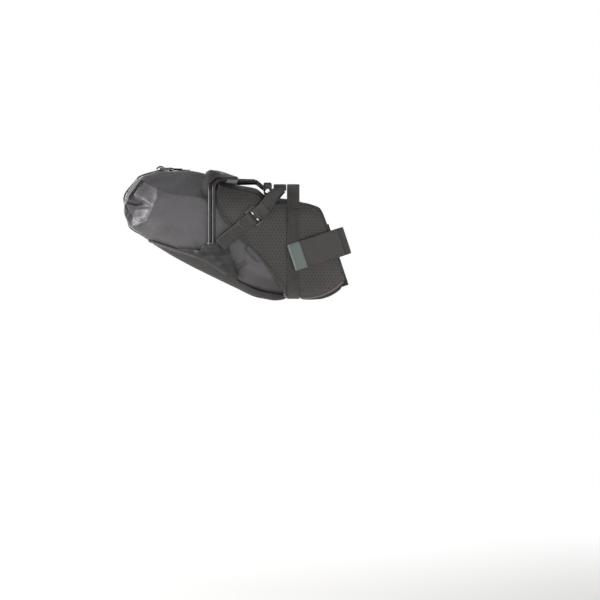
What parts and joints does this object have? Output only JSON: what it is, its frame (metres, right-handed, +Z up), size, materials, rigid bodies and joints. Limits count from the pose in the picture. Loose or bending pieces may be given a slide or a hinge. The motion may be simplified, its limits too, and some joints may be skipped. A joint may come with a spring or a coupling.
{
  "type": "saddle bag",
  "caption": "Bicycle saddle bag: a perforated harness strapped to the seat post and saddle rails carries a roll-closed dry bag, steadied by a tubular sway frame.",
  "frame": {"origin": "on the seat post's axis, at the middle of the post strap's width", "axes": "+X forward, +Y to the rider's left, +Z up; the seat post leans 18.3 degrees back"},
  "size_m": [0.456, 0.1976, 0.2672],
  "materials": {
    "mesh_laminate": "perforated laminate",
    "harness_cloth": "smooth woven",
    "coated_cloth": "coated, matt",
    "dry_cloth": "matt polyurethane coating",
    "webbing": "woven webbing",
    "binding": "folded tape",
    "strap_cloth": "brushed",
    "tab_cloth": "coated, satin",
    "heather_cloth": "heather weave",
    "woven_label": "satin weave",
    "loop_pile": "loop pile",
    "hook_tape": "moulded hooks",
    "foam": "closed-cell foam",
    "grip_rubber": "matt",
    "buckle_plastic": "moulded acetal",
    "moulded_plastic": "moulded nylon",
    "stiffener_plastic": "sheet",
    "black_tube": "polished black anodised",
    "black_alloy": "black anodised",
    "steel": "zinc plated"
  },
  "bodies": {
    "harness": {"base_panel": "coated_cloth", "top_panel": "harness_cloth", "nose_block": "foam", "post_pad": "grip_rubber", "side_label": "woven_label", "girth_strap": "webbing", "post_strap": "strap_cloth", "front_grip": "grip_rubber", "loop_patch": "loop_pile", "side_panel_right": "mesh_laminate", "side_panel_left": "mesh_laminate", "base_rim_right": "webbing", "base_rim_left": "webbing", "diagonal_binding_right": "binding", "diagonal_binding_left": "binding", "front_binding_right": "binding", "front_binding_left": "binding", "girth_loop_right": "webbing", "girth_loop_left": "webbing", "lower_strap_right": "webbing", "lower_strap_left": "webbing", "upper_strap_right": "webbing", "upper_strap_left": "webbing", "strap_loop_right": "webbing", "strap_loop_left": "webbing", "wing_right": "coated_cloth", "wing_left": "coated_cloth", "clamp_outer_right": "black_alloy", "clamp_outer_left": "black_alloy", "clamp_inner_right": "black_alloy", "clamp_inner_left": "black_alloy", "clamp_nut_right": "steel", "clamp_nut_left": "steel"},
    "sway_frame": {"sway_hoop": "black_tube", "top_flap": "harness_cloth", "sway_arm_right": "black_tube", "sway_arm_left": "black_tube", "frame_foot_right": "moulded_plastic", "frame_foot_left": "moulded_plastic", "arm_sleeve_right": "heather_cloth", "arm_sleeve_left": "heather_cloth"},
    "dry_bag": {"dry_bag": "dry_cloth", "closure_roll": "dry_cloth", "closure_stiffener": "stiffener_plastic", "closure_anchor": "webbing", "closure_strap": "webbing"},
    "closure_buckle": {"closure_buckle": "buckle_plastic", "closure_fold": "webbing"},
    "buckle_right": {"side_buckle_right": "buckle_plastic", "buckle_webbing_right": "webbing"},
    "buckle_left": {"side_buckle_left": "buckle_plastic", "buckle_webbing_left": "webbing"},
    "strap_flap": {"strap_flap": "strap_cloth", "hook_patch": "hook_tape"},
    "pull_tab": {"pull_tab": "tab_cloth"},
    "bolt_right": {"clamp_bolt_right": "steel"},
    "bolt_left": {"clamp_bolt_left": "steel"}
  },
  "joints": [
    {"name": "dry_bag_slide", "type": "slide", "parent": "harness", "child": "dry_bag", "axis": [-0.8387, 0, 0.5446], "range_m": [0, 0.3]},
    {"name": "sway_frame_pivot", "type": "hinge", "parent": "harness", "child": "sway_frame", "pos_m": [-0.1345, 0, 0.1044], "axis": [0, 1, 0], "range_deg": [0, 20]},
    {"name": "closure_buckle_tilt", "type": "hinge", "parent": "dry_bag", "child": "closure_buckle", "pos_m": [-0.3295, 0, 0.1492], "axis": [0, 1, 0], "range_deg": [0, 40]},
    {"name": "buckle_tilt_right", "type": "hinge", "parent": "harness", "child": "buckle_right", "pos_m": [-0.1654, -0.0778, 0.0473], "axis": [0.6461, 0, -0.7632], "range_deg": [0, 35]},
    {"name": "buckle_tilt_left", "type": "hinge", "parent": "harness", "child": "buckle_left", "pos_m": [-0.1654, 0.0778, 0.0473], "axis": [-0.6461, 0, 0.7632], "range_deg": [0, 35]},
    {"name": "strap_flap_peel", "type": "hinge", "parent": "harness", "child": "strap_flap", "pos_m": [0.01253, -0.026, 0.00415], "axis": [-0.314, 0, 0.9494], "range_deg": [0, 95]},
    {"name": "pull_tab_hinge", "type": "hinge", "parent": "strap_flap", "child": "pull_tab", "pos_m": [-0.06295, -0.048, -0.02082], "axis": [-0.314, 0, 0.9494], "range_deg": [0, 60]},
    {"name": "bolt_turn_right", "type": "hinge", "parent": "harness", "child": "bolt_right", "pos_m": [-0.1345, -0.03245, 0.1044], "axis": [0, -1, 0], "continuous": true},
    {"name": "bolt_turn_left", "type": "hinge", "parent": "harness", "child": "bolt_left", "pos_m": [-0.1345, 0.03245, 0.1044], "axis": [0, 1, 0], "continuous": true}
  ]
}
